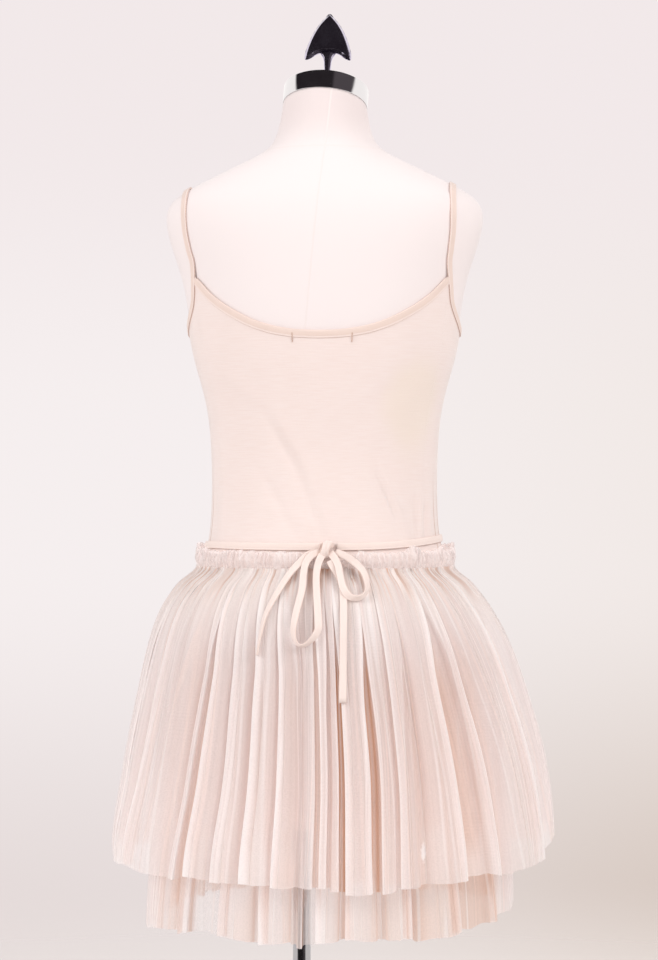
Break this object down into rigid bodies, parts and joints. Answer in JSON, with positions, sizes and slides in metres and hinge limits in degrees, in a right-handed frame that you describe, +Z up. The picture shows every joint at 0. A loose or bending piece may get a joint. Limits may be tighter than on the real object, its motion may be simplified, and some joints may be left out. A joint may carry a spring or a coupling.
{
  "type": "ballet tutu on a limbless dress form and stand",
  "caption": "Camisole ballet dress with a gathered two-layer tulle skirt and a tie bowed at the back, worn by a headless dress form on a pole with a round base.",
  "frame": {"origin": "on the floor, the centre of the round base's underside, which is on the pole's axis; the body stands 25 mm to +X of the pole", "axes": "+Z up along the pole; -Y is the wearer's back, which the picture shows; +X is the wearer's right seen from behind"},
  "size_m": [0.4769, 0.4148, 1.5331],
  "materials": {
    "jersey": "fine knitted stretch jersey, pale peach, soft sheen",
    "jersey_binding": "folded self-fabric jersey, pale peach, stitched edges",
    "tulle": "sheer fine nylon net, pale peach, matt",
    "under_tulle": "sheer fine nylon net, pale peach, matt",
    "form_cover": "smooth white stretch cover with sewn seams",
    "chrome": "bright chrome plate",
    "dark_chrome": "dark polished chrome plate",
    "base_enamel": "white enamelled iron"
  },
  "bodies": {
    "root": {"bodice_back": "jersey", "bodice_front": "jersey", "neck_binding_back": "jersey_binding", "neck_binding_front": "jersey_binding", "armhole_binding_back_left": "jersey_binding", "armhole_binding_back_right": "jersey_binding", "armhole_binding_front_left": "jersey_binding", "armhole_binding_front_right": "jersey_binding", "strap_left": "jersey_binding", "strap_right": "jersey_binding", "tie_left": "jersey_binding", "tie_right": "jersey_binding", "bow_knot": "jersey_binding", "bow_loop_left": "jersey_binding", "bow_loop_right": "jersey_binding", "bow_tail_left": "jersey_binding", "bow_tail_right": "jersey_binding", "skirt_heading_back": "tulle", "skirt_heading_front": "tulle", "upper_layer_back": "tulle", "upper_layer_front": "tulle", "lower_layer_back": "under_tulle", "lower_layer_front": "under_tulle", "form_torso": "form_cover", "neck_cap": "chrome", "finial": "dark_chrome", "pole": "chrome", "base": "base_enamel"}
  },
  "joints": []
}
